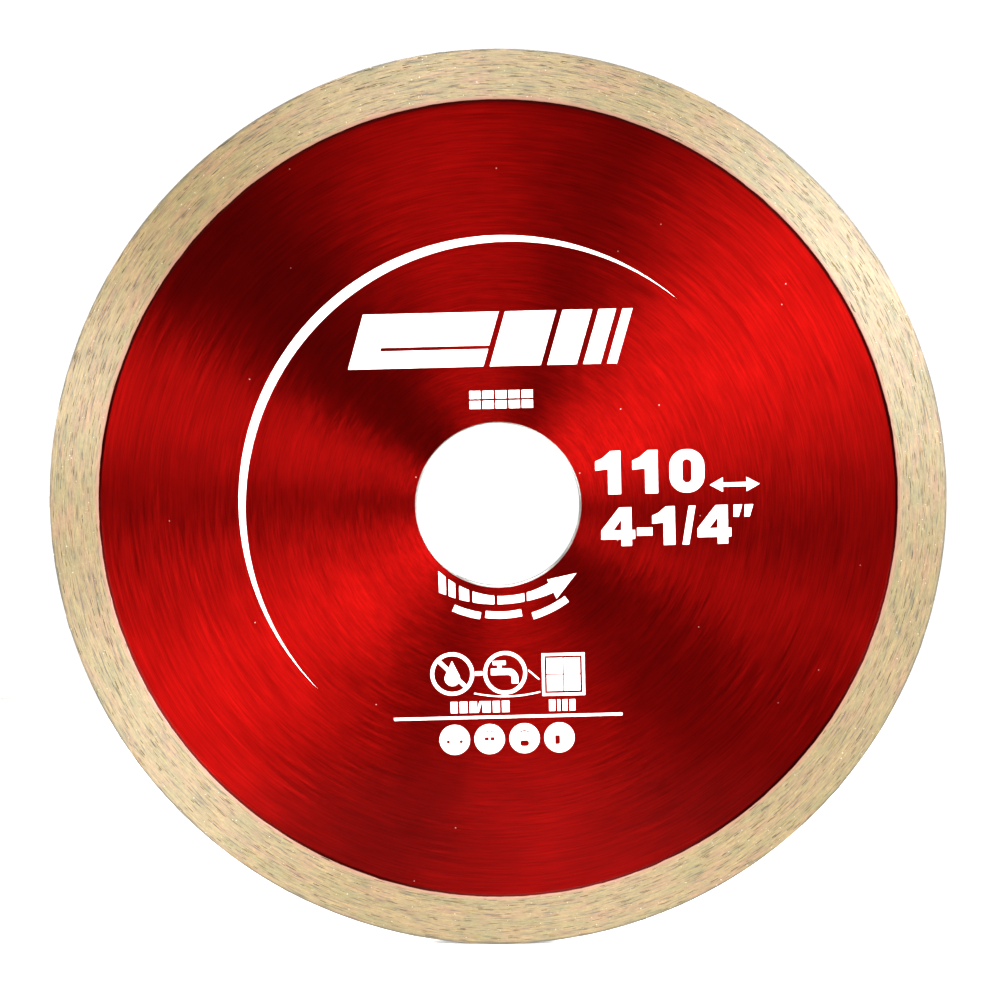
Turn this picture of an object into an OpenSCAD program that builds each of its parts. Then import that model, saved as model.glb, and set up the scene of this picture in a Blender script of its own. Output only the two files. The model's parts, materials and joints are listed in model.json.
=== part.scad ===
// Continuous-rim diamond blade for cutting tiles.
// A lacquered steel disc carries a sintered metal ring that holds the diamonds.
// The blade stands upright: the bore's axis is Y, and the printed face looks towards -Y.

/* [Blade] */
// Outside diameter of the rim
blade_d = 110; // [104:0.5:116]
// Diameter of the arbor bore
bore_d = 20; // [16:0.01:20.5]
// Thickness of the steel core
core_t = 1.2; // [1:0.05:1.4]
// Break edge on both ends of the bore
bore_break = 0.1; // [0.05:0.01:0.2]

/* [Rim] */
// Height of the rim band, measured along the radius
rim_h = 6.1; // [5:0.1:7]
// Thickness of the rim over its two flanks
rim_t = 1.8; // [1.7:0.05:2.4]
// Radial width of the slope between the core's face and the rim's flank
shoulder_w = 0.25; // [0.1:0.01:0.5]
// Break edge on the rim's two outer corners
rim_break = 0.15; // [0.05:0.01:0.3]
// How far the core reaches into the rim
key_depth = 2.4; // [1.5:0.1:3]
// Number of notches round the core's edge, which the rim's metal fills
key_count = 36; // [12:1:60]
// Radius of each notch
key_r = 0.7; // [0.4:0.05:1]

/* [Diamonds] */
// Number of large crystals that stand out of each flank
grit_count = 110; // [20:1:160]
// Edge length of a crystal
grit_size = 0.34; // [0.2:0.01:0.5]
// Height by which a crystal stands out
grit_proud = 0.07; // [0.03:0.01:0.12]

/* [Lacquer] */
// Thickness of the lacquer
lacquer_t = 0.04; // [0.02:0.01:0.05]
// Bare steel left round the bore, measured along the radius
bare_w = 0.2; // [0.2:0.05:1]

/* [Print] */
// Thickness of the ink
ink_t = 0.02; // [0.01:0.01:0.03]
// Turn of the whole print round the bore, in degrees
print_turn = 1.4; // [-180:0.1:180]
// Radius of the crescent's outer arc
swoosh_r = 32.6; // [31:0.1:34]
// Width of the crescent at its middle
swoosh_w = 1.15; // [0.6:0.05:2]
// Height of the metric size number
metric_h = 5.3; // [4:0.1:6]
// Height of the inch size number
inch_h = 4.75; // [3.5:0.05:5.2]
// Radius of the ringed use symbols
icon_r = 2.7; // [2:0.05:3]
// Side of the framed tile symbol
tile_side = 5.3; // [4:0.1:6]
// Radius of the safety discs
disc_r = 1.88; // [1:0.02:2]

/* [Hidden] */

$fn = 120;
blade_r = blade_d / 2;
bore_r = bore_d / 2;
core_z = core_t / 2;
rim_z = rim_t / 2;

// The core ends inside the rim, and the rim's lip stands just above the lacquer.
rim_inner_r = blade_r - rim_h - shoulder_w / 2;
core_r = rim_inner_r + key_depth;
lip_z = core_z + 2 * lacquer_t;
ink_z = core_z + lacquer_t;
lacquer_r = rim_inner_r;
lacquer_hole_r = bore_r + bore_break + bare_w / 2;

// Colours
steel_colour = [0.62, 0.62, 0.64];
bond_colour = [0.85, 0.78, 0.6];
diamond_colour = [0.45, 0.42, 0.33];
lacquer_colour = [0.72, 0.02, 0.02];
ink_colour = [0.97, 0.96, 0.95];

// Crystals are spread by two irrational steps, which keep any two of them apart.
golden_turn = 137.508;
golden_step = 0.754878;
grit_margin = 0.7;
grit_phase = 61;

// Crescent: the inner arc is the outer one, a little larger and moved away.
swoosh_centre = [0.75, 0.2];
swoosh_aim = -44;
swoosh_growth = 0.08;

// Slanted bars, from the widest to the narrowest
panel_bars = [16.5, 6.2, 3.6, 2.1, 1.2];
panel_gap = 0.8;
panel_h = 6.6;
panel_slant = 17;
panel_place = [-17.9, 17];
panel_slot_z = 2.1;
panel_slot_h = 0.45;

// Small wall of tiles
wall_rows = 2;
wall_columns = 5;
wall_tile = [1.34, 0.96];
wall_joint = 0.26;
wall_place = [-3.2, 11.85];

// Size numbers, drawn on a box that is 5.3 high
digit_box = 5.3;
digit_stem = 1.55;
metric_place = [12, 1];
metric_pitch = 4.55;
inch_place = [12.6, -5.4];
measure_l = 6.1;
measure_place = [26, 1.85];

// Turning arrow: a band between two arcs, cut into dashes by upright edges. The last dash runs into the head.
arrow_inner_r = 11.25;
arrow_inner_centre = [0.4, 0];
arrow_outer_r = 17.6;
arrow_outer_centre = [-0.1, 5.36];
arrow_reach = 13;
arrow_dashes = [[-7.55, -6.7], [-6.35, -5.55], [-5.05, -3.87], [-3.42, -0.78], [-0.37, 2.92], [3.27, 6.4]];
arrow_head = [[5.82, -9.35], [6.92, -11.73], [9.4, -8.63]];

// Arc bars: start angle, end angle and radius of each
speed_w = 0.85;
speed_spans = [[245.2, 259.5, 13.85], [262, 280.8, 13.6], [285.9, 304.7, 14.35]];

// Symbols
icon_line = 0.45;
icon_row = -20.8;
dry_x = -6.2;
wet_x = 0.35;
tile_place = [7.55, -21.15];
tile_line = 0.32;
tile_joint = 0.16;
hose_w = 0.16;
hose_r = 18;
hose_half_angle = 14.6;

// Blocks under the symbols
caption_z = -25.7;
caption_h = 1.4;
caption_gap = 0.28;
caption_slant = 18;

// Rule and discs
divider_l = 28.3;
divider_w = 0.34;
divider_place = [0.6, -26.3];
disc_count = 4;
disc_pitch = 4.33;
disc_place = [-6.1, -29.05];

// ---- placing ----

// Turns the blade's axis from +Z to -Y, so that it stands upright.
module upright() rotate([90, 0, 0]) children();

// A layer of ink on the printed face, from a flat drawing.
module ink_layer() {
    color(ink_colour)
        upright()
            translate([0, 0, ink_z])
                rotate(print_turn)
                    linear_extrude(ink_t)
                        children();
}

// ---- flat shapes ----

// Part of a ring, between two angles less than 180 degrees apart.
module arc_band(r, w, from, to) {
    reach = 2 * (r + w);
    middle = (from + to) / 2;
    intersection() {
        difference() {
            circle(r = r + w / 2);
            circle(r = r - w / 2);
        }
        polygon([
            [0, 0],
            reach * [cos(from), sin(from)],
            reach * [cos(middle), sin(middle)],
            reach * [cos(to), sin(to)]
        ]);
    }
}

// Rectangle with round corners, by its lower left corner and size.
module round_box(size, r) {
    translate([r, 0]) square([size.x - 2 * r, size.y]);
    translate([0, r]) square([size.x, size.y - 2 * r]);
    for (x = [r, size.x - r], y = [r, size.y - r])
        translate([x, y]) circle(r = r, $fn = 48);
}

// Bar that leans to the right, by its lower left corner.
module slanted_bar(w, h, angle) {
    lean = h * tan(angle);
    polygon([[0, 0], [w, 0], [w + lean, h], [lean, h]]);
}

// Row of slanted bars with equal gaps.
module bar_row(widths, gap, h, angle) {
    for (i = [0:len(widths) - 1])
        translate([sum_before(widths, i) + i * gap, 0])
            slanted_bar(widths[i], h, angle);
}

function sum_before(list, n) = n == 0 ? 0 : list[n - 1] + sum_before(list, n - 1);

// ---- digits, on a box digit_box high ----

module digit_one() {
    foot_x = 1.55;
    right_x = foot_x + digit_stem;
    flag_z = 2.95;
    polygon([
        [foot_x, 0], [right_x, 0], [right_x, digit_box], [foot_x + 0.35, digit_box],
        [0.9, 4.45], [0, 4.05], [0, flag_z], [foot_x, flag_z + 0.15]
    ]);
}

module digit_zero() {
    outer = [4.25, digit_box];
    wall = [digit_stem, 1.2];
    difference() {
        round_box(outer, 2);
        translate(wall) round_box(outer - 2 * wall, 0.55);
    }
}

module digit_four() {
    stem_x = 2.75;
    right_x = stem_x + 1.4;
    bar_low = 0.95;
    bar_high = 2.15;
    difference() {
        polygon([
            [stem_x, 0], [right_x, 0], [right_x, bar_low], [4.6, bar_low], [4.6, bar_high],
            [right_x, bar_high], [right_x, digit_box], [2.5, digit_box],
            [0, bar_high], [0, bar_low], [stem_x, bar_low]
        ]);
        polygon([[1.6, bar_high], [stem_x, bar_high], [stem_x, 3.65]]);
    }
}

// Two short slanted strokes
module inch_stroke_pair() {
    for (x = [0, 1.5])
        translate([x, 0])
            polygon([[0.15, 0], [0.85, 0], [1.35, 1.65], [0.2, 1.65]]);
}

// ---- blade ----

module core_blank() {
    difference() {
        rotate_extrude()
            polygon([
                [bore_r, bore_break - core_z], [bore_r + bore_break, -core_z], [core_r, -core_z],
                [core_r, core_z], [bore_r + bore_break, core_z], [bore_r, core_z - bore_break]
            ]);
        for (i = [0:key_count - 1])
            rotate(i * 360 / key_count)
                translate([core_r, 0, 0])
                    cylinder(r = key_r, h = 2 * core_t, center = true, $fn = 36);
    }
}

module steel_core() color(steel_colour) upright() core_blank();

module diamond_rim() {
    flank_r = rim_inner_r + shoulder_w;
    color(bond_colour)
        upright()
            difference() {
                rotate_extrude()
                    polygon([
                        [rim_inner_r, -lip_z], [flank_r, -rim_z], [blade_r - rim_break, -rim_z],
                        [blade_r, rim_break - rim_z], [blade_r, rim_z - rim_break],
                        [blade_r - rim_break, rim_z], [flank_r, rim_z], [rim_inner_r, lip_z]
                    ]);
                core_blank();
            }
}

// Flat-topped crystals on both flanks
module diamond_grit() {
    low_r = rim_inner_r + shoulder_w + grit_margin;
    high_r = blade_r - rim_break - grit_margin;
    color(diamond_colour)
        upright()
            for (side = [0, 1], i = [0:grit_count - 1]) {
                share = (i * golden_step) % 1;
                size = grit_size * (0.7 + 0.3 * sin(i * grit_phase));
                mirror([0, 0, side])
                    rotate(i * golden_turn + side * grit_phase)
                        translate([low_r + share * (high_r - low_r), 0, rim_z + grit_proud / 2])
                            rotate(i * grit_phase)
                                cube([size, size, grit_proud], center = true);
            }
}

module lacquer_coat() {
    translate([0, 0, core_z])
        difference() {
            cylinder(r = lacquer_r, h = lacquer_t);
            translate([0, 0, -lacquer_t]) cylinder(r = lacquer_hole_r, h = 3 * lacquer_t);
        }
}

module front_lacquer() color(lacquer_colour) upright() lacquer_coat();

module back_lacquer() color(lacquer_colour) upright() mirror([0, 0, 1]) lacquer_coat();

// ---- print ----

module swoosh_mark() {
    shift = swoosh_w + swoosh_growth;
    ink_layer()
        translate(swoosh_centre)
            difference() {
                circle(r = swoosh_r);
                translate(shift * [cos(swoosh_aim), sin(swoosh_aim)])
                    circle(r = swoosh_r + swoosh_growth);
            }
}

module name_panel() {
    slot_l = panel_bars[0] * 0.8;
    ink_layer()
        translate(panel_place)
            difference() {
                bar_row(panel_bars, panel_gap, panel_h, panel_slant);
                translate([panel_slot_z * tan(panel_slant), panel_slot_z])
                    translate([panel_bars[0] - slot_l, 0])
                        slanted_bar(slot_l + panel_gap, panel_slot_h, panel_slant);
            }
}

module type_mark() {
    ink_layer()
        translate(wall_place)
            for (row = [0:wall_rows - 1], column = [0:wall_columns - 1])
                translate([column * (wall_tile.x + wall_joint), row * (wall_tile.y + wall_joint)])
                    square(wall_tile);
}

module size_number_metric() {
    ink_layer() {
        translate(metric_place)
            scale(metric_h / digit_box) {
                digit_one();
                translate([metric_pitch, 0]) digit_one();
                translate([2 * metric_pitch, 0]) digit_zero();
            }
        translate(measure_place) measure_arrow();
    }
}

// Double-ended arrow, the usual sign for a measured width
module measure_arrow() {
    head_l = 1.6;
    head_w = 1.75;
    line_w = 0.5;
    translate([head_l / 2, -line_w / 2]) square([measure_l - head_l, line_w]);
    polygon([[0, 0], [head_l, head_w / 2], [head_l, -head_w / 2]]);
    translate([measure_l, 0]) polygon([[0, 0], [-head_l, head_w / 2], [-head_l, -head_w / 2]]);
}

module size_number_inch() {
    dash = [2.1, 1.1];
    dash_place = [4.9, 1.35];
    one_x = 7;
    stroke_x = 11.1;
    second_four_x = 13.2;
    ticks_place = [18, 3.65];
    ink_layer()
        translate(inch_place)
            scale(inch_h / digit_box) {
                digit_four();
                translate(dash_place) square(dash);
                translate([one_x, 0]) digit_one();
                translate([stroke_x, 0]) slanted_bar(0.9, digit_box, 10);
                translate([second_four_x, 0]) digit_four();
                translate(ticks_place) inch_stroke_pair();
            }
}

module rotation_arrow() {
    ink_layer() {
        intersection() {
            difference() {
                translate(arrow_outer_centre) circle(r = arrow_outer_r);
                translate(arrow_inner_centre) circle(r = arrow_inner_r);
            }
            union()
                for (dash = arrow_dashes)
                    translate([dash[0], -arrow_reach]) square([dash[1] - dash[0], arrow_reach]);
        }
        polygon(arrow_head);
    }
}

module speed_bars() {
    ink_layer()
        for (span = speed_spans)
            arc_band(span[2], speed_w, span[0], span[1]);
}

module icon_ring() {
    difference() {
        circle(r = icon_r);
        circle(r = icon_r - icon_line);
    }
}

// Water drop with a bar across it
module dry_use_icon() {
    drop_r = 0.95;
    drop_low = -0.55;
    bar_w = 0.5;
    ink_layer()
        translate([dry_x, icon_row]) {
            icon_ring();
            translate([0, drop_low]) circle(r = drop_r, $fn = 48);
            polygon([[-drop_r * cos(30), drop_low + drop_r * sin(30)],
                     [drop_r * cos(30), drop_low + drop_r * sin(30)], [0, 1.6]]);
            rotate(-45) translate([-icon_r + icon_line / 2, -bar_w / 2])
                square([2 * icon_r - icon_line, bar_w]);
        }
}

// Water tap: handle, body and a spout that bends down
module wet_use_icon() {
    pipe = 0.8;
    bend_r = 0.85;
    ink_layer()
        translate([wet_x, icon_row]) {
            icon_ring();
            translate([-1.75, -0.25]) square([2.1, pipe]);
            translate([0.35, 0.15 - bend_r]) arc_band(bend_r, pipe, 0, 90);
            translate([0.35 + bend_r - pipe / 2, -1.35]) square([pipe, 0.7]);
            translate([-0.95, 0.5]) square([0.5, 0.75]);
            translate([-1.5, 1]) square([1.6, 0.5]);
        }
}

module tile_icon() {
    inset = tile_line + 0.28;
    tile = (tile_side - 2 * inset - tile_joint) / 2;
    ink_layer()
        translate(tile_place - [tile_side, tile_side] / 2) {
            difference() {
                square(tile_side);
                translate([tile_line, tile_line]) square(tile_side - 2 * tile_line);
            }
            for (x = [0, 1], y = [0, 1])
                translate([inset, inset] + (tile + tile_joint) * [x, y])
                    square(tile);
        }
}

// Hose from one symbol to the next, as thin lines that stay clear of them
module hose_line() {
    link_gap = 0.12;
    link_l = wet_x - dry_x - 2 * icon_r - 2 * link_gap;
    ink_layer() {
        translate([dry_x + icon_r + link_gap, icon_row - 0.25]) square([link_l, 0.5]);
        translate([0.55, -23.75 + hose_r])
            arc_band(hose_r, hose_w, 270 - hose_half_angle + 1.5, 270 + hose_half_angle - 1.5);
        translate([wet_x + icon_r + link_gap, -20.6])
            rotate(-42) square([1.75, hose_w]);
    }
}

module caption_bars() {
    ink_layer()
        for (group = [[-6.5, [0.85, 0.95, 0.9]], [-2.55, [1, 0.85, 0.9]], [5.7, [0.75, 0.35, 0.6, 0.7]]])
            translate([group[0], caption_z])
                bar_row(group[1], caption_gap, caption_h, 0);
    ink_layer()
        translate([-3.35, caption_z])
            slanted_bar(0.3, caption_h, caption_slant);
}

module divider_line() {
    ink_layer()
        translate(divider_place)
            square([divider_l, divider_w], center = true);
}

// White discs with small cut-out pictograms: ear cups, goggles, mask and glove
module safety_discs() {
    ink_layer()
        for (i = [0:disc_count - 1])
            translate(disc_place + [i * disc_pitch, 0])
                difference() {
                    circle(r = disc_r);
                    disc_pictogram(i);
                }
}

module disc_pictogram(i) {
    dot_r = 0.22;
    if (i == 0)
        for (x = [-0.8, 0.8])
            translate([x, -0.25]) circle(r = dot_r, $fn = 24);
    if (i == 1) {
        for (x = [-0.62, 0.1])
            translate([x, -0.2]) square([0.52, 0.45]);
        translate([0, 0.2]) arc_band(0.8, 0.16, 50, 130);
    }
    if (i == 2) {
        translate([-0.55, -1]) round_box([1.1, 0.75], 0.3);
        translate([0, 0.1]) arc_band(0.85, 0.18, 40, 140);
    }
    if (i == 3)
        translate([-0.55, -0.85]) round_box([0.62, 1.15], 0.15);
}

steel_core();
diamond_rim();
diamond_grit();
front_lacquer();
back_lacquer();
swoosh_mark();
name_panel();
type_mark();
size_number_metric();
size_number_inch();
rotation_arrow();
speed_bars();
dry_use_icon();
wet_use_icon();
tile_icon();
hose_line();
caption_bars();
divider_line();
safety_discs();
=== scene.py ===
"""Builds the looks of a lacquered continuous-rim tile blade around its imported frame.

Lengths are metres in the frame's own axes: the bore's axis is Y, the printed face looks towards -Y,
and +Z is up.
"""

import json
import math

import bpy
from bpy.props import FloatProperty, FloatVectorProperty, IntProperty, PointerProperty
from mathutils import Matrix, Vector


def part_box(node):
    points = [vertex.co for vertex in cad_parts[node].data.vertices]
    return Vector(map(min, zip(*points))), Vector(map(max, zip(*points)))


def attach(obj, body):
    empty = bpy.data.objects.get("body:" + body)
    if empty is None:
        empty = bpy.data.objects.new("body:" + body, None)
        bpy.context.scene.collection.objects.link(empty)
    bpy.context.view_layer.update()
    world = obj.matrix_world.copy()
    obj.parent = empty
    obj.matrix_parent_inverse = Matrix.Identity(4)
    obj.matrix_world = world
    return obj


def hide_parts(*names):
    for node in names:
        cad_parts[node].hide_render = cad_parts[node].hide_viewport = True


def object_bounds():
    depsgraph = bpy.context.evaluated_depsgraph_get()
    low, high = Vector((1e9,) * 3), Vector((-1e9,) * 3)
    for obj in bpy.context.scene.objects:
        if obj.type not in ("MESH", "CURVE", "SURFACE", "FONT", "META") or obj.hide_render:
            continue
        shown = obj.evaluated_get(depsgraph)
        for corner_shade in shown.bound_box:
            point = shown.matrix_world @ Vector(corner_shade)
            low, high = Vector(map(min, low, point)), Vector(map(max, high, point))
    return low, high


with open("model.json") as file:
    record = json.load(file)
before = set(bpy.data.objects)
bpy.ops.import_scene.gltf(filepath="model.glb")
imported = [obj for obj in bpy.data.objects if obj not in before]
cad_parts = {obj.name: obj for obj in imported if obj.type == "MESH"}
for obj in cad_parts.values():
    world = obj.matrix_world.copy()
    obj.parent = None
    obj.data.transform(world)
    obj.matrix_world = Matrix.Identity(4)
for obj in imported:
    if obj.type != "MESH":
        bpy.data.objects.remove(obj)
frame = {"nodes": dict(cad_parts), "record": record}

bl_info = {
    "name": "Diamond Blade",
    "version": (1, 0, 0),
    "blender": (4, 5, 0),
    "location": "3D View > Sidebar > Blade",
    "description": "Builds a lacquered tile blade with a sintered diamond rim",
    "category": "Add Mesh",
}

CAD_BOX = [list(corner_shade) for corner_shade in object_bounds()]
BODY = "root"
MM = 0.001
FLOOR_GAP = 0.05 * MM
SIDES = {"front": -1, "back": 1}
PRINT_NODES = [part["node"] for part in frame["record"]["subparts"] if part["material_slot"] == "white_ink"]


# ---- sizes that the frame gives ----

def radii(node):
    """Smallest and largest distance of a node's points from the bore's axis."""
    found = [math.hypot(v.co.x, v.co.z) for v in frame["nodes"][node].data.vertices]
    return min(found), max(found)


BORE_R, CORE_R = radii("steel_core")
COAT_HOLE_R, SHOULDER_R = radii("front_lacquer")
BLADE_R = radii("diamond_rim")[1]
CORE_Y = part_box("steel_core")[1].y
RIM_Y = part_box("diamond_rim")[1].y
COAT_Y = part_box("back_lacquer")[1].y
GRIT_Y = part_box("diamond_grit")[1].y
LIP_Y = 2 * COAT_Y - CORE_Y
FLOOR_Z = CAD_BOX[0][2] - FLOOR_GAP
# The coats' patterns have their true length halfway out.
COAT_MID_R = SHOULDER_R / 2


def linear(code):
    """Linear colour of an sRGB hex code such as #B41A12."""
    parts = [int(code[i:i + 2], 16) / 255 for i in (1, 3, 5)]
    return [p / 12.92 if p <= 0.04045 else ((p + 0.055) / 1.055) ** 2.4 for p in parts]


# ---- settings ----

def length(name, text, millimetres):
    """A size in metres, with its default given in millimetres."""
    default = millimetres * MM
    return FloatProperty(name=name, description=text, default=default, min=0, precision=5, unit="LENGTH")


def colour(name, text, code):
    """A colour whose default is an sRGB hex code."""
    return FloatVectorProperty(
        name=name, description=text, default=linear(code), min=0, max=1, size=3, subtype="COLOR"
    )


def count(name, text, default):
    """A whole number above zero."""
    return IntProperty(name=name, description=text, default=default, min=1)


def amount(name, text, default):
    """A plain number."""
    return FloatProperty(name=name, description=text, default=default)


def turn(name, text, degrees):
    """An angle, with its default given in degrees."""
    return FloatProperty(name=name, description=text, default=math.radians(degrees), subtype="ANGLE")


class BladeSizes(bpy.types.PropertyGroup):
    """Sizes of the blade that the frame doesn't settle"""

    segments: count("Segments", "Steps round every turned piece", 1440)
    bore_break: length("Bore break", "Break edge on both ends of the bore", 0.1)
    shoulder: length("Shoulder", "Width of the slope between the core and the rim's flank", 0.25)
    rim_break: length("Rim break", "Rounding of the rim's two outer corners", 0.15)
    relief: length("Relief", "Depth of the grinding marks on the rim", 0.03)
    key_count: count("Keys", "Notches round the core's hidden edge", 36)
    key_radius: length("Key radius", "Radius of each notch", 0.7)
    wander: length("Paint wander", "How far the lacquer's outer edge strays", 0.05)
    crystals: count("Crystals", "Diamonds that stand out of each flank", 600)
    crystal_size: length("Crystal size", "Width of a diamond", 0.3)
    tails: count("Tails", "Ridges of bond metal on each flank", 2000)
    tail_length: length("Tail length", "Length of the longest bond ridge", 2.6)
    tail_width: length("Tail width", "Width of the widest bond ridge", 0.18)
    tail_height: length("Tail height", "Half the height of a bond ridge, half of which is sunk", 0.04)


class BladeColours(bpy.types.PropertyGroup):
    """Colours of the blade's finishes"""

    lacquer: colour("Lacquer", "Red lacquer over bright steel", "#6C0504")
    grazing: colour("Grazing red", "Colour of the lacquer's reflection at a grazing angle", "#FF1A12")
    # Painted shade: the darker red that the lacquer takes on the rim's step, where the step's shade falls.
    step_shade_red: colour("Paint bead", "Lacquer where it lies thick against the rim", "#3C0604")
    steel: colour("Steel", "Bare core steel", "#C9C7C2")
    bond: colour("Bond", "Sintered bronze of the rim", "#6E5C38")
    bond_olive: colour("Olive bond", "Greener patches of the bond", "#5F5731")
    bond_pink: colour("Copper bond", "Copper-rich patches of the bond", "#715338")
    mist: colour("Lacquer mist", "Bond stained by sprayed lacquer", "#80503E")
    # Dark colour of the rim's marks, its outer corner and the bond tails: residue, and painted shade of
    # pits, ridges and the corner.
    residue_and_shade: colour("Residue", "Dark residue in the grinding marks", "#332E22")
    crystal: colour("Crystal", "Synthetic diamond", "#B5A878")
    ink: colour("Ink", "White printing ink", "#FAF9F7")
    dust: colour("Dust", "Specks of dust held in the lacquer", "#C08A86")
    floor: colour("Floor", "Plain floor", "#C5C5C3")


class BladeStage(bpy.types.PropertyGroup):
    """Camera and lights"""

    lens: amount("Lens", "Focal length in millimetres", 50.0)
    distance: length("Distance", "From the camera to the blade", 171.1)
    elevation: turn("Elevation", "Height of the camera above the horizon", 3.6)
    aim_right: length("Aim right", "How far right of the bore the camera looks", 0.22)
    aim_up: length("Aim up", "How far above the bore the camera looks", 0.59)
    backdrop: amount("Backdrop", "Brightness of the white room as the camera sees it", 1.1)
    ceiling: amount("Ceiling", "Light from the room's ceiling", 0.25)
    walls: amount("Walls", "Light from the room's walls", 0.05)
    beam: turn("Beam", "Spread of the grids on the lamps", 60)
    reach: length("Reach", "From the bore to each lamp", 300)
    floor_half: length("Floor", "Half the side of the floor board", 150)


# ---- nodes ----

def pick(sockets, key):
    """The socket with this place or name, leaving out those that the node's settings hide."""
    if isinstance(key, int):
        return sockets[key]
    return next(socket for socket in sockets if socket.name == key and socket.enabled)


def fill(tree, node, inputs):
    """Links each input to a node or a socket, or gives it a value."""
    for key, value in inputs.items():
        socket = pick(node.inputs, key)
        if isinstance(value, bpy.types.Node):
            value = next(found for found in value.outputs if found.enabled)
        if isinstance(value, bpy.types.NodeSocket):
            tree.links.new(value, socket)
        else:
            socket.default_value = value


def add(tree, kind, inputs, **settings):
    """Adds a node with its settings and its inputs."""
    made = tree.nodes.new(kind)
    for name, value in settings.items():
        setattr(made, name, value)
    fill(tree, made, inputs)
    return made


def polar(tree, place):
    """Direction from the bore's axis to a point, and the distance between them."""
    flat = add(tree, "ShaderNodeVectorMath", {0: place, 1: (1, 0, 1)}, operation="MULTIPLY")
    outward = add(tree, "ShaderNodeVectorMath", {0: flat}, operation="NORMALIZE")
    radius = add(tree, "ShaderNodeVectorMath", {0: flat}, operation="LENGTH").outputs["Value"]
    return outward, radius


def streaks(tree, place, along, across, at_radius, shift=0.0, **noise):
    """Noise drawn out round the bore: marks of one length and width, in metres, without a seam."""
    outward, radius = polar(tree, place)
    height = add(tree, "ShaderNodeSeparateXYZ", {"Vector": place}).outputs["Y"]
    rise = add(tree, "ShaderNodeMath", {0: radius, 1: height}, operation="ADD")
    row = add(tree, "ShaderNodeMath", {0: rise, 1: 1 / across, 2: shift}, operation="MULTIPLY_ADD")
    ring = add(tree, "ShaderNodeVectorMath", {0: outward, "Scale": at_radius / along}, operation="SCALE")
    lift = add(tree, "ShaderNodeCombineXYZ", {"Y": row})
    spot = add(tree, "ShaderNodeVectorMath", {0: ring, 1: lift}, operation="ADD")
    settings = {"Vector": spot, "Scale": 1.0, **noise}
    return add(tree, "ShaderNodeTexNoise", settings).outputs[0]


# The ranges that nearly all of a noise lies in, and most of it
WIDE = (0.25, 0.75)
MOST = (0.3, 0.7)
# Share of the lacquer's cells that hold no speck of dust
EMPTY_CELLS = 0.9


def between(low, high, first=0.0, last=1.0):
    """Inputs that read the values from low to high as first to last, held at both ends."""
    return {"From Min": low, "From Max": high, "To Min": first, "To Max": last}


def rgba(colour):
    """A colour with its alpha."""
    return (*colour, 1.0)


# ---- turned pieces ----

def geometry_tree(name, sizes):
    """A Geometry Nodes tree with one named input for each size."""
    tree = bpy.data.node_groups.new(name, "GeometryNodeTree")
    tree.interface.new_socket("Geometry", in_out="INPUT", socket_type="NodeSocketGeometry")
    for label, kind in sizes.items():
        tree.interface.new_socket(label, in_out="INPUT", socket_type="NodeSocket" + kind)
    tree.interface.new_socket("Geometry", in_out="OUTPUT", socket_type="NodeSocketGeometry")
    return tree, tree.nodes.new("NodeGroupInput").outputs


def close_tree(tree, shape, material):
    """Ends a tree with real geometry that carries its material."""
    real = add(tree, "GeometryNodeRealizeInstances", {"Geometry": shape})
    painted = add(tree, "GeometryNodeSetMaterial", {"Geometry": real, "Material": material})
    add(tree, "NodeGroupOutput", {0: painted})


def grown(name, start, tree, values):
    """The plain mesh piece that a tree makes of a start mesh."""
    piece = bpy.data.objects.new(name, start)
    bpy.context.scene.collection.objects.link(piece)
    modifier = piece.modifiers.new(tree.name, "NODES")
    modifier.node_group = tree
    for item in tree.interface.items_tree:
        if item.in_out == "INPUT" and item.name in values:
            modifier[item.identifier] = values[item.name]
    depsgraph = bpy.context.evaluated_depsgraph_get()
    mesh = bpy.data.meshes.new_from_object(piece.evaluated_get(depsgraph), depsgraph=depsgraph)
    piece.modifiers.clear()
    piece.data = mesh
    return piece


def section(name, points):
    """A closed outline of points, each a radius, a height and, for some, the name of what it yields to."""
    mesh = bpy.data.meshes.new(name)
    total = len(points)
    mesh.from_pydata([(p[0], p[1], 0) for p in points], [(i, (i + 1) % total) for i in range(total)], [])
    for label in ("keyed", "worn", "loose"):
        share = [1.0 if label in p[2:] else 0.0 for p in points]
        mesh.attributes.new(label, "FLOAT", "POINT").data.foreach_set("value", share)
    return mesh


def swept(tree, outline, segments, rail):
    """Turns the section once round the Y axis."""
    upright = (math.pi / 2, 0, 0)
    inward = add(tree, "ShaderNodeMath", {0: rail, 1: -1.0}, operation="MULTIPLY")
    shift = add(tree, "ShaderNodeCombineXYZ", {"X": inward})
    curve = add(tree, "GeometryNodeMeshToCurve", {"Mesh": outline})
    profile = add(tree, "GeometryNodeTransform", {"Geometry": curve, "Translation": shift})
    circle = add(tree, "GeometryNodeCurvePrimitiveCircle", {"Resolution": segments, "Radius": rail})
    ring = add(tree, "GeometryNodeCurveToMesh", {"Curve": circle, "Profile Curve": profile})
    return add(tree, "GeometryNodeTransform", {"Geometry": ring, "Rotation": upright})


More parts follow.
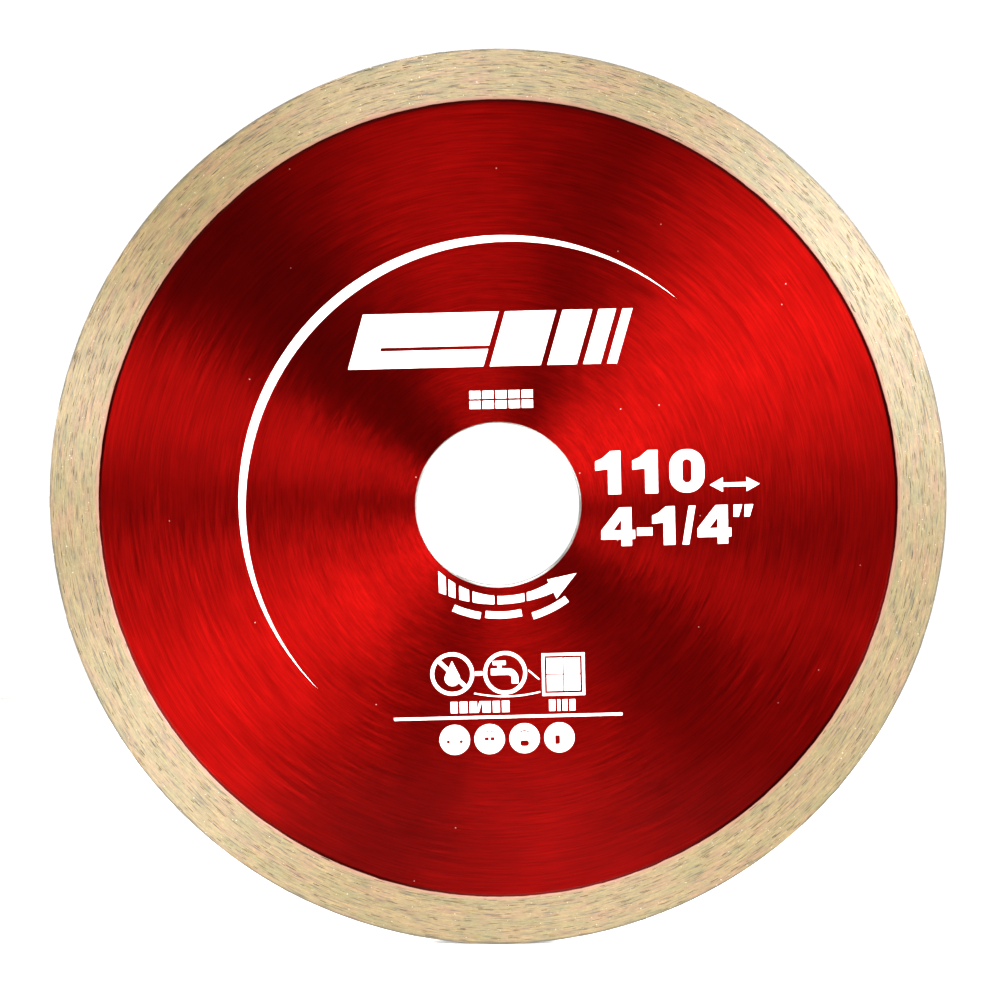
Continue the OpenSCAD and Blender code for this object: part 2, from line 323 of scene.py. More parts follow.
def keyed(tree, shape, keys, key_radius, edge_radius):
    """Draws the marked points in to form round notches, evenly spaced round the edge."""
    place = add(tree, "GeometryNodeInputPosition", {})
    outward = polar(tree, place)[0]
    axes = add(tree, "ShaderNodeSeparateXYZ", {"Vector": place})
    angle = add(tree, "ShaderNodeMath", {0: axes.outputs["Z"], 1: axes.outputs["X"]}, operation="ARCTAN2")
    half_pitch = add(tree, "ShaderNodeMath", {0: math.pi, 1: keys}, operation="DIVIDE")
    low = add(tree, "ShaderNodeMath", {0: half_pitch, 1: -1.0}, operation="MULTIPLY")
    off = add(tree, "ShaderNodeMath", {0: angle, 1: half_pitch, 2: low}, operation="WRAP")
    side = add(tree, "ShaderNodeMath", {0: off, 1: edge_radius}, operation="MULTIPLY")
    side_squared = add(tree, "ShaderNodeMath", {0: side, 1: 2.0}, operation="POWER")
    reach_squared = add(tree, "ShaderNodeMath", {0: key_radius, 1: 2.0}, operation="POWER")
    left = add(tree, "ShaderNodeMath", {0: reach_squared, 1: side_squared}, operation="SUBTRACT")
    inside = add(tree, "ShaderNodeMath", {0: left, 1: 0.0}, operation="MAXIMUM")
    depth = add(tree, "ShaderNodeMath", {0: inside}, operation="SQRT")
    share = add(tree, "GeometryNodeInputNamedAttribute", {"Name": "keyed"}, data_type="FLOAT")
    pull = add(tree, "ShaderNodeMath", {0: depth, 1: share}, operation="MULTIPLY")
    back = add(tree, "ShaderNodeMath", {0: pull, 1: -1.0}, operation="MULTIPLY")
    offset = add(tree, "ShaderNodeVectorMath", {0: outward, "Scale": back}, operation="SCALE")
    return add(tree, "GeometryNodeSetPosition", {"Geometry": shape, "Offset": offset})


def ground(tree, shape, depth):
    """Sinks the worn points by long grinding marks that run round the rim."""
    place = add(tree, "GeometryNodeInputPosition", {})
    broad = streaks(tree, place, 7 * MM, 1.6 * MM, BLADE_R, Detail=1.0)
    fine = streaks(tree, place, 2.2 * MM, 0.5 * MM, BLADE_R, shift=31.0, Detail=1.0)
    both = add(tree, "ShaderNodeMath", {0: broad, 1: fine}, operation="ADD")
    wear = add(tree, "ShaderNodeMapRange", {"Value": both, **between(0.7, 1.3, 0.0, -1.0)})
    share = add(tree, "GeometryNodeInputNamedAttribute", {"Name": "worn"}, data_type="FLOAT")
    marked = add(tree, "ShaderNodeMath", {0: wear, 1: share}, operation="MULTIPLY")
    sink = add(tree, "ShaderNodeMath", {0: marked, 1: depth}, operation="MULTIPLY")
    normal = add(tree, "GeometryNodeInputNormal", {})
    offset = add(tree, "ShaderNodeVectorMath", {0: normal, "Scale": sink}, operation="SCALE")
    return add(tree, "GeometryNodeSetPosition", {"Geometry": shape, "Offset": offset})


def strayed(tree, shape, reach, slope):
    """Moves the loose points up and down the shoulder's slope, as a sprayed edge strays."""
    place = add(tree, "GeometryNodeInputPosition", {})
    outward = polar(tree, place)[0]
    height = add(tree, "ShaderNodeSeparateXYZ", {"Vector": place}).outputs["Y"]
    side = add(tree, "ShaderNodeMath", {0: height}, operation="SIGN")
    rise = add(tree, "ShaderNodeMath", {0: side, 1: slope.y}, operation="MULTIPLY")
    lift = add(tree, "ShaderNodeCombineXYZ", {"Y": rise})
    run = add(tree, "ShaderNodeVectorMath", {0: outward, "Scale": slope.x}, operation="SCALE")
    uphill = add(tree, "ShaderNodeVectorMath", {0: run, 1: lift}, operation="ADD")
    noise = streaks(tree, place, 2.5 * MM, 4 * MM, BLADE_R, Detail=3.0)
    stray = add(tree, "ShaderNodeMapRange", {"Value": noise, **between(*MOST, -1.0, 1.0)})
    share = add(tree, "GeometryNodeInputNamedAttribute", {"Name": "loose"}, data_type="FLOAT")
    marked = add(tree, "ShaderNodeMath", {0: stray, 1: share}, operation="MULTIPLY")
    moved = add(tree, "ShaderNodeMath", {0: marked, 1: reach}, operation="MULTIPLY")
    offset = add(tree, "ShaderNodeVectorMath", {0: uphill, "Scale": moved}, operation="SCALE")
    return add(tree, "GeometryNodeSetPosition", {"Geometry": shape, "Offset": offset})


def settle(piece, node, crease):
    """Smooths a piece up to its creases, in degrees, and hands it to the frame in place of its CAD node."""
    mesh = piece.data
    mesh.polygons.foreach_set("use_smooth", [True] * len(mesh.polygons))
    mesh.set_sharp_from_angle(angle=math.radians(crease))
    if node:
        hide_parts(node)
    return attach(piece, BODY)


def spaced(first, last, steps):
    """Evenly spaced points between two points of a section, both ends left out."""
    shares = [(i + 1) / (steps + 1) for i in range(steps)]
    return [(first[0] + s * (last[0] - first[0]), first[1] + s * (last[1] - first[1])) for s in shares]


def mirrored(points):
    """A section's upper points, then the same points below the middle plane, as one closed run."""
    return points + [(p[0], -p[1], *p[2:]) for p in reversed(points)]


def facing_out(mesh):
    """Turns a closed shell's faces outwards if they look inwards."""
    volume = 0.0
    for face in mesh.polygons:
        volume += face.center.dot(face.normal) * face.area
    if volume < 0:
        mesh.flip_normals()


# ---- finishes ----

def new_material(name):
    """A material with its tree, its shader and the piece's own coordinates."""
    made = bpy.data.materials.new(name)
    made.use_nodes = True
    tree = made.node_tree
    place = add(tree, "ShaderNodeTexCoord", {}).outputs["Object"]
    return made, tree, tree.nodes["Principled BSDF"], place


def gained(tree, swings):
    """A factor round one. Each swing is a noise, the range it is read over and how far it moves the factor,
    which is below zero where high noise darkens."""
    gain = 1.0
    for noise, reach, swing in swings:
        share = add(tree, "ShaderNodeMapRange", {"Value": noise, **between(*reach, 1 - swing, 1 + swing)})
        gain = add(tree, "ShaderNodeMath", {0: gain, 1: share}, operation="MULTIPLY")
    return gain


def layered(tree, colour, layers):
    """A colour with others laid over it. Each layer is how much of it shows, and its own colour."""
    for share, over in layers:
        inputs = {"Factor": share, "A": colour, "B": rgba(over)}
        colour = add(tree, "ShaderNodeMix", inputs, data_type="RGBA")
    return colour


def brushed_direction(tree, place, jitter):
    """The direction across circular brush marks, which strays by a few degrees from streak to streak."""
    outward = polar(tree, place)[0]
    noise = streaks(tree, place, 2.6 * MM, 0.25 * MM, COAT_MID_R, shift=7.0, Detail=3.0)
    angle = add(tree, "ShaderNodeMapRange", {"Value": noise, **between(*WIDE, -jitter, jitter)})
    return add(tree, "ShaderNodeVectorRotate", {"Vector": outward, "Angle": angle}, rotation_type="Y_AXIS")


def dust(tree, place, pitch, size):
    """One where a speck lies: about one cell of ten holds a speck."""
    axes = add(tree, "ShaderNodeSeparateXYZ", {"Vector": place})
    flat = add(tree, "ShaderNodeCombineXYZ", {"X": axes.outputs["X"], "Y": axes.outputs["Z"]})
    cells = add(tree, "ShaderNodeTexVoronoi", {"Vector": flat, "Scale": 1 / pitch}, voronoi_dimensions="2D")
    edge = between(size / pitch, 0.5 * size / pitch)
    near = add(tree, "ShaderNodeMapRange", {"Value": cells.outputs["Distance"], **edge})
    lot = add(tree, "ShaderNodeSeparateColor", {"Color": cells.outputs["Color"]}).outputs["Red"]
    held = add(tree, "ShaderNodeMath", {0: lot, 1: EMPTY_CELLS}, operation="GREATER_THAN")
    return add(tree, "ShaderNodeMath", {0: near, 1: held}, operation="MULTIPLY")


# Translucent lacquer over circular-brushed steel: deep red, with bright wedges that follow the lights.
def red_lacquer(colours):
    """The finish of both coats."""
    made, tree, shader, place = new_material("red lacquer over brushed steel")
    radius = polar(tree, place)[1]
    # Brush marks are about 0.05 mm wide; they are drawn 0.2 mm wide, so that they show.
    marks = streaks(tree, place, 2.4 * MM, 0.2 * MM, COAT_MID_R, Detail=3.0, Roughness=0.65)
    hairs = streaks(tree, place, 6 * MM, 0.35 * MM, COAT_MID_R, shift=53.0, Detail=2.0)
    circles = streaks(tree, place, 30 * MM, 0.5 * MM, COAT_MID_R, shift=83.0, Detail=2.0)
    clouds = add(tree, "ShaderNodeTexNoise", {"Vector": place, "Scale": 1 / (9 * MM), "Detail": 2.0})
    swings = [(marks, WIDE, 0.28), (hairs, MOST, 0.1), (circles, MOST, 0.1), (clouds, MOST, 0.1)]
    gain = gained(tree, swings)
    film = add(tree, "ShaderNodeVectorMath", {0: tuple(colours.lacquer), "Scale": gain}, operation="SCALE")
    # Painted shade: the lacquer is darkened in the last 0.12 mm before the rim, where the rim's step shades
    # it.
    foot = between(SHOULDER_R - 0.12 * MM, SHOULDER_R + 0.02 * MM)
    step_shade_mask = add(tree, "ShaderNodeMapRange", {"Value": radius, **foot})
    specks = dust(tree, place, pitch=5 * MM, size=0.09 * MM)
    fill(tree, shader, {
        "Base Color": layered(tree, film, [(step_shade_mask, colours.step_shade_red), (specks, colours.dust)]),
        "Metallic": 1.0,
        "Roughness": 0.42,
        "Anisotropic": 1.0,
        "Tangent": brushed_direction(tree, place, jitter=math.radians(6)),
        "Specular Tint": rgba(colours.grazing),
        "Coat Weight": 0.02,
        "Coat Roughness": 0.12,
    })
    return made


# Cold-rolled steel with turned edges: grey and bright, with fine marks round the bore.
def core_steel(colours):
    """The finish of the core."""
    made, tree, shader, place = new_material("turned core steel")
    marks = streaks(tree, place, 3 * MM, 0.12 * MM, BORE_R, Detail=3.0)
    shade = add(tree, "ShaderNodeMapRange", {"Value": marks, **between(*WIDE, 0.75, 1.1)})
    steel = add(tree, "ShaderNodeVectorMath", {0: tuple(colours.steel), "Scale": shade}, operation="SCALE")
    fill(tree, shader, {
        "Base Color": steel,
        "Metallic": 1.0,
        "Roughness": add(tree, "ShaderNodeMapRange", {"Value": marks, **between(*WIDE, 0.25, 0.45)}),
        "Anisotropic": 0.5,
        "Tangent": polar(tree, place)[0],
    })
    return made


# Sintered bronze, ground flat: pale, with a soft sheen, copper and olive patches and fine marks, whose dark
# dashes and outer corner carry painted shade.
def sintered_bond(colours):
    """The finish of the rim."""
    made, tree, shader, place = new_material("ground sintered bronze")
    radius = polar(tree, place)[1]
    patches = streaks(tree, place, 5 * MM, 1.3 * MM, BLADE_R, shift=11.0, Detail=4.0, Roughness=0.6)
    warmth = streaks(tree, place, 5 * MM, 1.0 * MM, BLADE_R, shift=67.0, Detail=4.0, Roughness=0.6)
    # Diamond grit of about 0.3 mm leaves marks about half as wide.
    grain = streaks(tree, place, 0.5 * MM, 0.16 * MM, BLADE_R, shift=23.0, Detail=4.0, Roughness=0.7)
    lines = streaks(tree, place, 2.5 * MM, 0.16 * MM, BLADE_R, shift=41.0, Detail=2.0)
    olive = add(tree, "ShaderNodeMapRange", {"Value": patches, **between(0.42, 0.62, 0.0, 0.8)})
    copper = add(tree, "ShaderNodeMapRange", {"Value": warmth, **between(0.48, 0.68, 0.0, 0.8)})
    metal = layered(tree, rgba(colours.bond), [(olive, colours.bond_olive), (copper, colours.bond_pink)])
    # Where the lines run the colour darkens, and the dark marks stand for pits that the mesh doesn't cut:
    # residue in the pits and their painted shade.
    gain = gained(tree, [(grain, MOST, 0.3), (lines, MOST, -0.3)])
    metal = add(tree, "ShaderNodeVectorMath", {0: metal, "Scale": gain}, operation="SCALE")
    pit_shade_and_residue = add(tree, "ShaderNodeMapRange", {"Value": lines, **between(0.59, 0.7, 0.0, 0.75)})
    # Lacquer mist tints the inner edge. The outer corner is darkened in patches as painted shade, and made
    # rougher there.
    inner_edge = between(SHOULDER_R + 0.7 * MM, SHOULDER_R + 0.4 * MM, 0.0, 0.75)
    corner_shade_band = between(BLADE_R - 0.35 * MM, BLADE_R - 0.1 * MM, 0.0, 0.9)
    mist = add(tree, "ShaderNodeMapRange", {"Value": radius, **inner_edge})
    corner_shade = add(tree, "ShaderNodeMapRange", {"Value": radius, **corner_shade_band})
    corner_shade_patch = add(tree, "ShaderNodeMapRange", {"Value": patches, **between(0.35, 0.5)})
    # Painted shade on the rounded outer corner, in patches; the roughness below rises there too.
    worn = add(tree, "ShaderNodeMath", {0: corner_shade, 1: corner_shade_patch}, operation="MULTIPLY")
    marks = [(pit_shade_and_residue, colours.residue_and_shade), (mist, colours.mist), (worn, colours.residue_and_shade)]
    height = add(tree, "ShaderNodeMath", {0: grain, 1: lines}, operation="SUBTRACT")
    base_rough = add(tree, "ShaderNodeMapRange", {"Value": grain, **between(*WIDE, 0.38, 0.52)})
    dull = add(tree, "ShaderNodeMath", {0: pit_shade_and_residue, 1: worn}, operation="MAXIMUM")
    rough = add(tree, "ShaderNodeMath", {0: dull, 1: 0.35, 2: base_rough}, operation="MULTIPLY_ADD")
    # The coat is the thin film of oil that keeps a new rim from tarnishing.
    fill(tree, shader, {
        "Base Color": layered(tree, metal, marks),
        "Metallic": 0.2,
        "Specular IOR Level": 1.0,
        "Roughness": rough,
        "Anisotropic": 0.95,
        "Tangent": polar(tree, place)[0],
        "Normal": add(tree, "ShaderNodeBump", {"Height": height, "Strength": 0.8, "Distance": 0.03 * MM}),
        "Coat Weight": 0.4,
        "Coat Roughness": 0.55,
        "Coat IOR": 1.6,
    })
    return made


# Bond metal left behind each diamond: the same bronze, darkened by a different amount on each, partly
# residue and partly painted shade of the ridge.
def tail_metal(colours):
    """The finish of the bond tails."""
    made, tree, shader, place = new_material("stained bond tail")
    tint = add(tree, "ShaderNodeAttribute", {}, attribute_name="tint").outputs["Fac"]
    grain = streaks(tree, place, 0.6 * MM, 0.15 * MM, BLADE_R, shift=23.0, Detail=3.0)
    clean = add(tree, "ShaderNodeMapRange", {"Value": tint, **between(0.0, 0.8)})
    stain_and_shade = layered(tree, rgba(colours.residue_and_shade), [(clean, colours.bond)])
    gain = add(tree, "ShaderNodeMapRange", {"Value": grain, **between(*WIDE, 0.75, 1.2)})
    fill(tree, shader, {
        "Base Color": add(tree, "ShaderNodeVectorMath", {0: stain_and_shade, "Scale": gain}, operation="SCALE"),
        "Metallic": 0.3,
        "Specular IOR Level": 0.4,
        "Roughness": 0.6,
    })
    return made


# Synthetic diamond: small yellow-green crystals that glint, with a strong reflection from rough faces.
def diamond_grit(colours):
    """The finish of the crystals."""
    made, tree, shader, place = new_material("synthetic diamond grit")
    tint = add(tree, "ShaderNodeAttribute", {}, attribute_name="tint").outputs["Fac"]
    depth = add(tree, "ShaderNodeMapRange", {"Value": tint, **between(0.0, 1.0, 0.15, 0.6)})
    facets = add(tree, "ShaderNodeTexNoise", {"Vector": place, "Scale": 1 / (0.15 * MM), "Detail": 1.0})
    shaded = {0: tuple(colours.crystal), "Scale": depth}
    fill(tree, shader, {
        "Base Color": add(tree, "ShaderNodeVectorMath", shaded, operation="SCALE"),
        "Roughness": add(tree, "ShaderNodeMapRange", {"Value": facets, **between(0.35, 0.65, 0.4, 0.65)}),
        "IOR": 2.42,
    })
    return made


# Screen-printed ink: flat, white and opaque, with a faint orange-peel and thin spots that show the red.
def screen_ink(colours):
    """The finish of every printed mark."""
    made, tree, shader, place = new_material("screen printed white ink")
    pores = add(tree, "ShaderNodeTexNoise", {"Vector": place, "Scale": 1 / (0.35 * MM), "Detail": 3.0})
    thin = add(tree, "ShaderNodeMapRange", {"Value": pores, **between(0.64, 0.74, 0.0, 0.35)})
    fill(tree, shader, {
        "Base Color": layered(tree, rgba(colours.ink), [(thin, colours.lacquer)]),
        "Roughness": add(tree, "ShaderNodeMapRange", {"Value": pores, **between(*MOST, 0.38, 0.55)}),
        "Normal": add(tree, "ShaderNodeBump", {"Height": pores, "Strength": 0.3, "Distance": 0.004 * MM}),
    })
    return made


# Painted board: matt and pale, with hardly any fibre showing.
def floor_board(colours):
    """The finish of the floor."""
    made, tree, shader, place = new_material("matt white board")
    fibres = add(tree, "ShaderNodeTexNoise", {"Vector": place, "Scale": 1 / (4 * MM), "Detail": 4.0})
    tone = add(tree, "ShaderNodeMapRange", {"Value": fibres, **between(*MOST, 0.985, 1.0)})
    paint = add(tree, "ShaderNodeVectorMath", {0: tuple(colours.floor), "Scale": tone}, operation="SCALE")
    fill(tree, shader, {
        "Base Color": paint,
        "Roughness": 0.9,
    })
    return made


# ---- pieces ----

def turned_piece(name, outline, steps, material, values):
    """A piece turned from a section, shaped further by the given steps."""
    sizes = {"Segments": "Int", "Rail Radius": "Float", "Material": "Material"}
    kinds = {label: "Int" if isinstance(value, int) else "Float" for label, value in values.items()}
    tree, ports = geometry_tree(name + " turning", {**sizes, **kinds})
    shape = swept(tree, ports["Geometry"], ports["Segments"], ports["Rail Radius"])
    for step in steps:
        shape = step(tree, shape, ports)
    close_tree(tree, shape, ports["Material"])
    segments = bpy.context.scene.blade_sizes.segments
    settings = {"Segments": segments, "Rail Radius": BLADE_R, "Material": material, **values}
    piece = grown(name, section(name + " section", outline), tree, settings)
    facing_out(piece.data)
    return piece


def core_step(tree, shape, ports):
    """Notches at the core's edge."""
    return keyed(tree, shape, ports["Keys"], ports["Key Radius"], ports["Edge Radius"])


def rim_step(tree, shape, ports):
    """Grinding marks on the rim."""
    return ground(tree, shape, ports["Relief"])


class BLADE_OT_steel_core(bpy.types.Operator):
    """Turns the steel core, with its bore and its keyed edge"""

    bl_idname = "blade.steel_core"
    bl_label = "Steel core"

    def execute(self, context):
        sizes = context.scene.blade_sizes
        lead = sizes.bore_break
        upper = [
            (BORE_R, CORE_Y - lead),
            (BORE_R + lead, CORE_Y),
            (SHOULDER_R, CORE_Y),
            (CORE_R, CORE_Y, "keyed"),
        ]
        values = {"Keys": sizes.key_count, "Key Radius": sizes.key_radius, "Edge Radius": CORE_R}
        material = core_steel(context.scene.blade_colours)
        piece = turned_piece("core_disc", mirrored(upper), [core_step], material, values)
        settle(piece, "steel_core", crease=30)
        return {"FINISHED"}


class BLADE_OT_diamond_rim(bpy.types.Operator):
    """Turns the sintered rim, which grips the core's edge, and grinds its flanks"""

    bl_idname = "blade.diamond_rim"
    bl_label = "Diamond rim"

    def execute(self, context):
        sizes = context.scene.blade_sizes
        flank_r = SHOULDER_R + sizes.shoulder
        lead = sizes.rim_break
        bend = 1 - math.cos(math.pi / 4)
        flank_end = (BLADE_R - lead, RIM_Y)
        upper = [
            (CORE_R, CORE_Y, "keyed"),
            (SHOULDER_R, CORE_Y),
            (SHOULDER_R, LIP_Y),
            (flank_r - 0.1 * lead, RIM_Y - 0.1 * lead),
            (flank_r + 0.2 * lead, RIM_Y),
            *[(r, y, "worn") for r, y in spaced((flank_r, RIM_Y), flank_end, 20)],
            (*flank_end, "worn"),
            (BLADE_R - lead * bend, RIM_Y - lead * bend, "worn"),
            (BLADE_R, RIM_Y - lead, "worn"),
            (BLADE_R, (RIM_Y - lead) / 2, "worn"),
        ]
        values = {
            "Keys": sizes.key_count,
            "Key Radius": sizes.key_radius,
            "Edge Radius": CORE_R,
            "Relief": sizes.relief,
        }
        material = sintered_bond(context.scene.blade_colours)
        piece = turned_piece("rim_ring", mirrored(upper), [core_step, rim_step], material, values)
        settle(piece, "diamond_rim", crease=30)
        return {"FINISHED"}


def scattered(tree, ports, instance, turned, scale):
    """Copies of a shape on the worn faces, each with its own tint."""
    worn = add(tree, "GeometryNodeInputNamedAttribute", {"Name": "worn"}, data_type="FLOAT")
    chosen = add(tree, "FunctionNodeCompare", {0: worn, 1: 0.9}, operation="GREATER_THAN")
    spread = {
        "Mesh": ports["Geometry"],
        "Selection": chosen,
        "Density": ports["Per Square Metre"],
        "Seed": ports["Seed"],
    }
    points = add(tree, "GeometryNodeDistributePointsOnFaces", spread)
    normal = points.outputs["Normal"]
    rotation = turned(tree, normal)
    down = add(tree, "ShaderNodeMath", {0: ports["Sink"], 1: -1.0}, operation="MULTIPLY")
    inward = add(tree, "ShaderNodeVectorMath", {0: normal, "Scale": down}, operation="SCALE")
    sunk = add(tree, "GeometryNodeSetPosition", {"Geometry": points.outputs["Points"], "Offset": inward})
    placed = {
        "Points": sunk,
        "Instance": instance,
        "Rotation": rotation,
        "Scale": scale,
    }
    copies = add(tree, "GeometryNodeInstanceOnPoints", placed)
    tint = add(tree, "FunctionNodeRandomValue", {"Min": 0.0, "Max": 1.0, "Seed": 5}, data_type="FLOAT")
    stored = {"Geometry": copies, "Name": "tint", "Value": tint}
    return add(tree, "GeometryNodeStoreNamedAttribute", stored, data_type="FLOAT", domain="INSTANCE")


def along_the_cut(tree, normal):
    """A rotation whose Z stands off the surface and whose X runs round the blade."""
    place = add(tree, "GeometryNodeInputPosition", {})
    outward = polar(tree, place)[0]
    around = add(tree, "ShaderNodeVectorMath", {0: outward, 1: (0, 1, 0)}, operation="CROSS_PRODUCT")
    axes = {"Primary Axis": normal, "Secondary Axis": around}
    return add(tree, "FunctionNodeAxesToRotation", axes, primary_axis="Z", secondary_axis="X")


def any_way_round(tree, normal):
    """A rotation whose Z stands off the surface and whose X points anywhere along it."""
    ends = {"Min": (-1, -1, -1), "Max": (1, 1, 1), "Seed": 8}
    heading = add(tree, "FunctionNodeRandomValue", ends, data_type="FLOAT_VECTOR")
    axes = {"Primary Axis": normal, "Secondary Axis": heading}
    return add(tree, "FunctionNodeAxesToRotation", axes, primary_axis="Z", secondary_axis="X")


def scatter_piece(name, turned, reach, sink, seed, per_flank, material):
    """A group of small solids on the rim. reach is the least and the most half length, width and height."""
    kinds = {
        "Per Square Metre": "Float",
        "Seed": "Int",
        "Least": "Vector",
        "Most": "Vector",
        "Sink": "Float",
        "Material": "Material",
    }
    tree, ports = geometry_tree(name + " scatter", kinds)
    ball = add(tree, "GeometryNodeMeshIcoSphere", {"Radius": 1.0, "Subdivisions": 1})
    smooth = add(tree, "GeometryNodeSetShadeSmooth", {"Geometry": ball.outputs["Mesh"]})
    ends = {"Min": ports["Least"], "Max": ports["Most"], "Seed": 3}
    scale = add(tree, "FunctionNodeRandomValue", ends, data_type="FLOAT_VECTOR")
    copies = scattered(tree, ports, smooth, turned, scale)
    close_tree(tree, copies, ports["Material"])
    flank_area = math.pi * (BLADE_R ** 2 - SHOULDER_R ** 2)
    values = {
        "Per Square Metre": per_flank / flank_area,
        "Seed": seed,
        "Least": reach[0],
        "Most": reach[1],
        "Sink": sink,
        "Material": material,
    }
    ground_ring = bpy.data.objects["rim_ring"].data.copy()
    return grown(name, ground_ring, tree, values)


class BLADE_OT_bond_tails(bpy.types.Operator):
    """Leaves a ridge of bond metal behind the diamonds, along the direction of the cut"""

    bl_idname = "blade.bond_tails"
    bl_label = "Bond tails"

    def execute(self, context):
        sizes = context.scene.blade_sizes
        long, wide = sizes.tail_length / 2, sizes.tail_width / 2
        high = sizes.tail_height
        reach = [(0.4 * long, 0.5 * wide, 0.7 * high), (long, wide, high)]
        material = tail_metal(context.scene.blade_colours)
        sink = 0.5 * high
        piece = scatter_piece("bond_tails", along_the_cut, reach, sink, 17, sizes.tails, material)
        settle(piece, None, crease=180)
        return {"FINISHED"}


class BLADE_OT_crystals(bpy.types.Operator):
    """Sets the diamonds that stand out of the rim"""

    bl_idname = "blade.crystals"
    bl_label = "Diamonds"

    def execute(self, context):
        sizes = context.scene.blade_sizes
        wide = sizes.crystal_size / 2
        proud = GRIT_Y - RIM_Y
        reach = [(0.35 * wide, 0.35 * wide, 0.8 * proud), (wide, wide, 1.2 * proud)]
        material = diamond_grit(context.scene.blade_colours)
        sink = 0.6 * proud
        piece = scatter_piece("diamond_crystals", any_way_round, reach, sink, 29, sizes.crystals, material)
        settle(piece, "diamond_grit", crease=20)
        return {"FINISHED"}


class BLADE_OT_lacquer(bpy.types.Operator):
    """Lays a coat of lacquer on each face, from the bore to part way up the rim's shoulder"""

    bl_idname = "blade.lacquer"
    bl_label = "Lacquer coats"

    def execute(self, context):
        sizes = context.scene.blade_sizes
        material = red_lacquer(context.scene.blade_colours)
        slope = Vector((sizes.shoulder, RIM_Y - LIP_Y)).normalized()
        film = COAT_Y - CORE_Y
        foot = Vector((SHOULDER_R, LIP_Y))
        thick = Vector((-slope.y, slope.x)) * film / 2
        sunk = thick * -0.25

        def uphill(share, off):
            """The point at this share of the slope's length, moved off it."""
            point = foot + slope * share * sizes.shoulder / slope.x + off
            return point.x, point.y

        upper = [
            (COAT_HOLE_R, CORE_Y),
            (COAT_HOLE_R + film / 2, COAT_Y),
            (SHOULDER_R - 3 * film, COAT_Y),
            (SHOULDER_R - 1.2 * film, COAT_Y + 0.3 * film),
            uphill(0.1, thick),
            uphill(0.55, thick),
            (*uphill(0.8, thick), "loose"),
            (*uphill(0.88, sunk), "loose"),
            uphill(0.5, sunk),
            uphill(0.05, sunk),
            (SHOULDER_R, CORE_Y),
        ]

        def edge_step(tree, shape, ports):
            """The stray of the sprayed edge."""
            return strayed(tree, shape, ports["Wander"], slope)

        for label, side in SIDES.items():
            outline = [(p[0], side * p[1], *p[2:]) for p in upper]
            values = {"Wander": sizes.wander}
            piece = turned_piece(label + "_coat", outline, [edge_step], material, values)
            settle(piece, label + "_lacquer", crease=50)
        return {"FINISHED"}


class BLADE_OT_print(bpy.types.Operator):
    """Gives every printed mark its white ink"""

    bl_idname = "blade.print"
    bl_label = "Print"

    def execute(self, context):
        ink = screen_ink(context.scene.blade_colours)
        for name in PRINT_NODES:
            node = frame["nodes"][name]
            node.data.materials.clear()
            node.data.materials.append(ink)
        return {"FINISHED"}


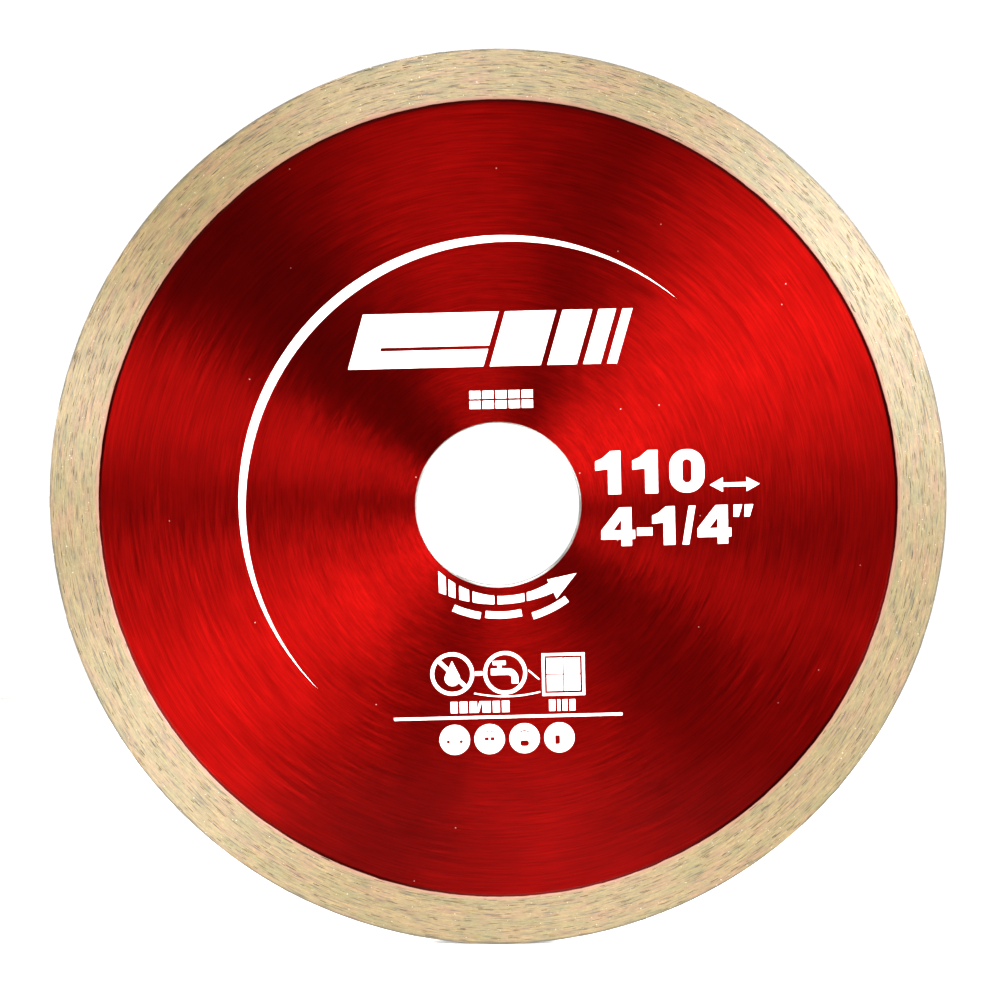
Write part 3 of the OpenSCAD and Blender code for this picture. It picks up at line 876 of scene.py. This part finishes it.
class BLADE_OT_stage(bpy.types.Operator):
    """Sets the floor, the white room, the soft lights and the camera"""

    bl_idname = "blade.stage"
    bl_label = "Stage"

    # Each lamp: name, degrees round the blade, degrees off the blade's axis, width in metres, power in watts
    LAMPS = [
        ("key", 27, 46, 0.26, 0.73),
        ("top", 100, 66, 0.26, 0.5),
        ("left", 168, 48, 0.09, 0.096),
    ]

    def execute(self, context):
        self.lay_floor(context)
        self.light_room(context)
        for label, side in SIDES.items():
            for name, angle, tilt, width, power in self.LAMPS:
                lamp = self.hang_lamp(context, f"{label}_{name}", width, power)
                self.aim_lamp(context, lamp, side, math.radians(angle), math.radians(tilt))
        self.place_camera(context)
        context.scene.view_settings.view_transform = "Standard"
        return {"FINISHED"}

    def lay_floor(self, context):
        """A plain board just under the blade."""
        mesh = bpy.data.meshes.new("floor")
        half = context.scene.blade_stage.floor_half
        corners = [(-half, -half), (half, -half), (half, half), (-half, half)]
        mesh.from_pydata([(x, y, FLOOR_Z) for x, y in corners], [], [(0, 1, 2, 3)])
        mesh.materials.append(floor_board(context.scene.blade_colours))
        floor = bpy.data.objects.new("floor", mesh)
        context.scene.collection.objects.link(floor)

    def light_room(self, context):
        """A dim room, brighter overhead, that the camera sees as white."""
        stage = context.scene.blade_stage
        world = bpy.data.worlds.new("white room")
        world.use_nodes = True
        tree = world.node_tree
        heading = add(tree, "ShaderNodeTexCoord", {}).outputs["Generated"]
        height = add(tree, "ShaderNodeSeparateXYZ", {"Vector": heading}).outputs["Z"]
        overhead = between(0.2, 0.7, stage.walls, stage.ceiling)
        lit = add(tree, "ShaderNodeMapRange", {"Value": height, **overhead})
        seen = add(tree, "ShaderNodeLightPath", {}).outputs["Is Camera Ray"]
        parts = {"Factor": seen, "A": lit, "B": stage.backdrop}
        strength = add(tree, "ShaderNodeMix", parts, data_type="FLOAT")
        fill(tree, tree.nodes["Background"], {"Color": (1, 1, 1, 1), "Strength": strength})
        context.scene.world = world

    def hang_lamp(self, context, name, width, power):
        """A square lamp that lights the scene and isn't seen."""
        data = bpy.data.lights.new(name, "AREA")
        data.shape = "SQUARE"
        data.size = width
        data.energy = power
        data.spread = context.scene.blade_stage.beam
        lamp = bpy.data.objects.new(name, data)
        context.scene.collection.objects.link(lamp)
        lamp.visible_camera = False
        return lamp

    def aim_lamp(self, context, lamp, side, angle, tilt):
        """Puts a lamp in front of one face and turns it to the bore."""
        reach = context.scene.blade_stage.reach
        around = math.sin(tilt) * reach
        lamp.location = (around * math.cos(angle), side * math.cos(tilt) * reach, around * math.sin(angle))
        lamp.rotation_euler = (-Vector(lamp.location)).to_track_quat("-Z", "Y").to_euler()

    def place_camera(self, context):
        """A camera that looks straight at the printed face from a little above."""
        stage = context.scene.blade_stage
        data = bpy.data.cameras.new("camera")
        data.lens = stage.lens
        data.clip_start = 5 * MM
        camera = bpy.data.objects.new("camera", data)
        context.scene.collection.objects.link(camera)
        back = Vector((0, -math.cos(stage.elevation), math.sin(stage.elevation)))
        camera.location = Vector((stage.aim_right, 0, stage.aim_up)) + back * stage.distance
        camera.rotation_euler = (-back).to_track_quat("-Z", "Y").to_euler()
        context.scene.camera = camera


class BLADE_PT_sidebar(bpy.types.Panel):
    """Lists the blade's settings, and a button for each step"""

    bl_label = "Diamond Blade"
    bl_space_type = "VIEW_3D"
    bl_region_type = "UI"
    bl_category = "Blade"

    def draw(self, context):
        scene = context.scene
        for group in (scene.blade_sizes, scene.blade_colours, scene.blade_stage):
            column = self.layout.column(align=True)
            for name in type(group).__annotations__:
                column.prop(group, name)
        for operator in OPERATORS:
            self.layout.operator(operator.bl_idname)


GROUPS = {"blade_sizes": BladeSizes, "blade_colours": BladeColours, "blade_stage": BladeStage}
OPERATORS = (
    BLADE_OT_steel_core,
    BLADE_OT_diamond_rim,
    BLADE_OT_bond_tails,
    BLADE_OT_crystals,
    BLADE_OT_lacquer,
    BLADE_OT_print,
    BLADE_OT_stage,
)


def register():
    for cls in (*GROUPS.values(), *OPERATORS, BLADE_PT_sidebar):
        bpy.utils.register_class(cls)
    for name, group in GROUPS.items():
        setattr(bpy.types.Scene, name, PointerProperty(type=group))


def unregister():
    for name in GROUPS:
        delattr(bpy.types.Scene, name)
    for cls in (BLADE_PT_sidebar, *reversed(OPERATORS), *GROUPS.values()):
        bpy.utils.unregister_class(cls)


def main():
    """Builds the whole blade and its stage."""
    register()
    bpy.ops.blade.steel_core()
    bpy.ops.blade.diamond_rim()
    bpy.ops.blade.bond_tails()
    bpy.ops.blade.crystals()
    bpy.ops.blade.lacquer()
    bpy.ops.blade.print()
    bpy.ops.blade.stage()


if __name__ == "__main__":
    main()
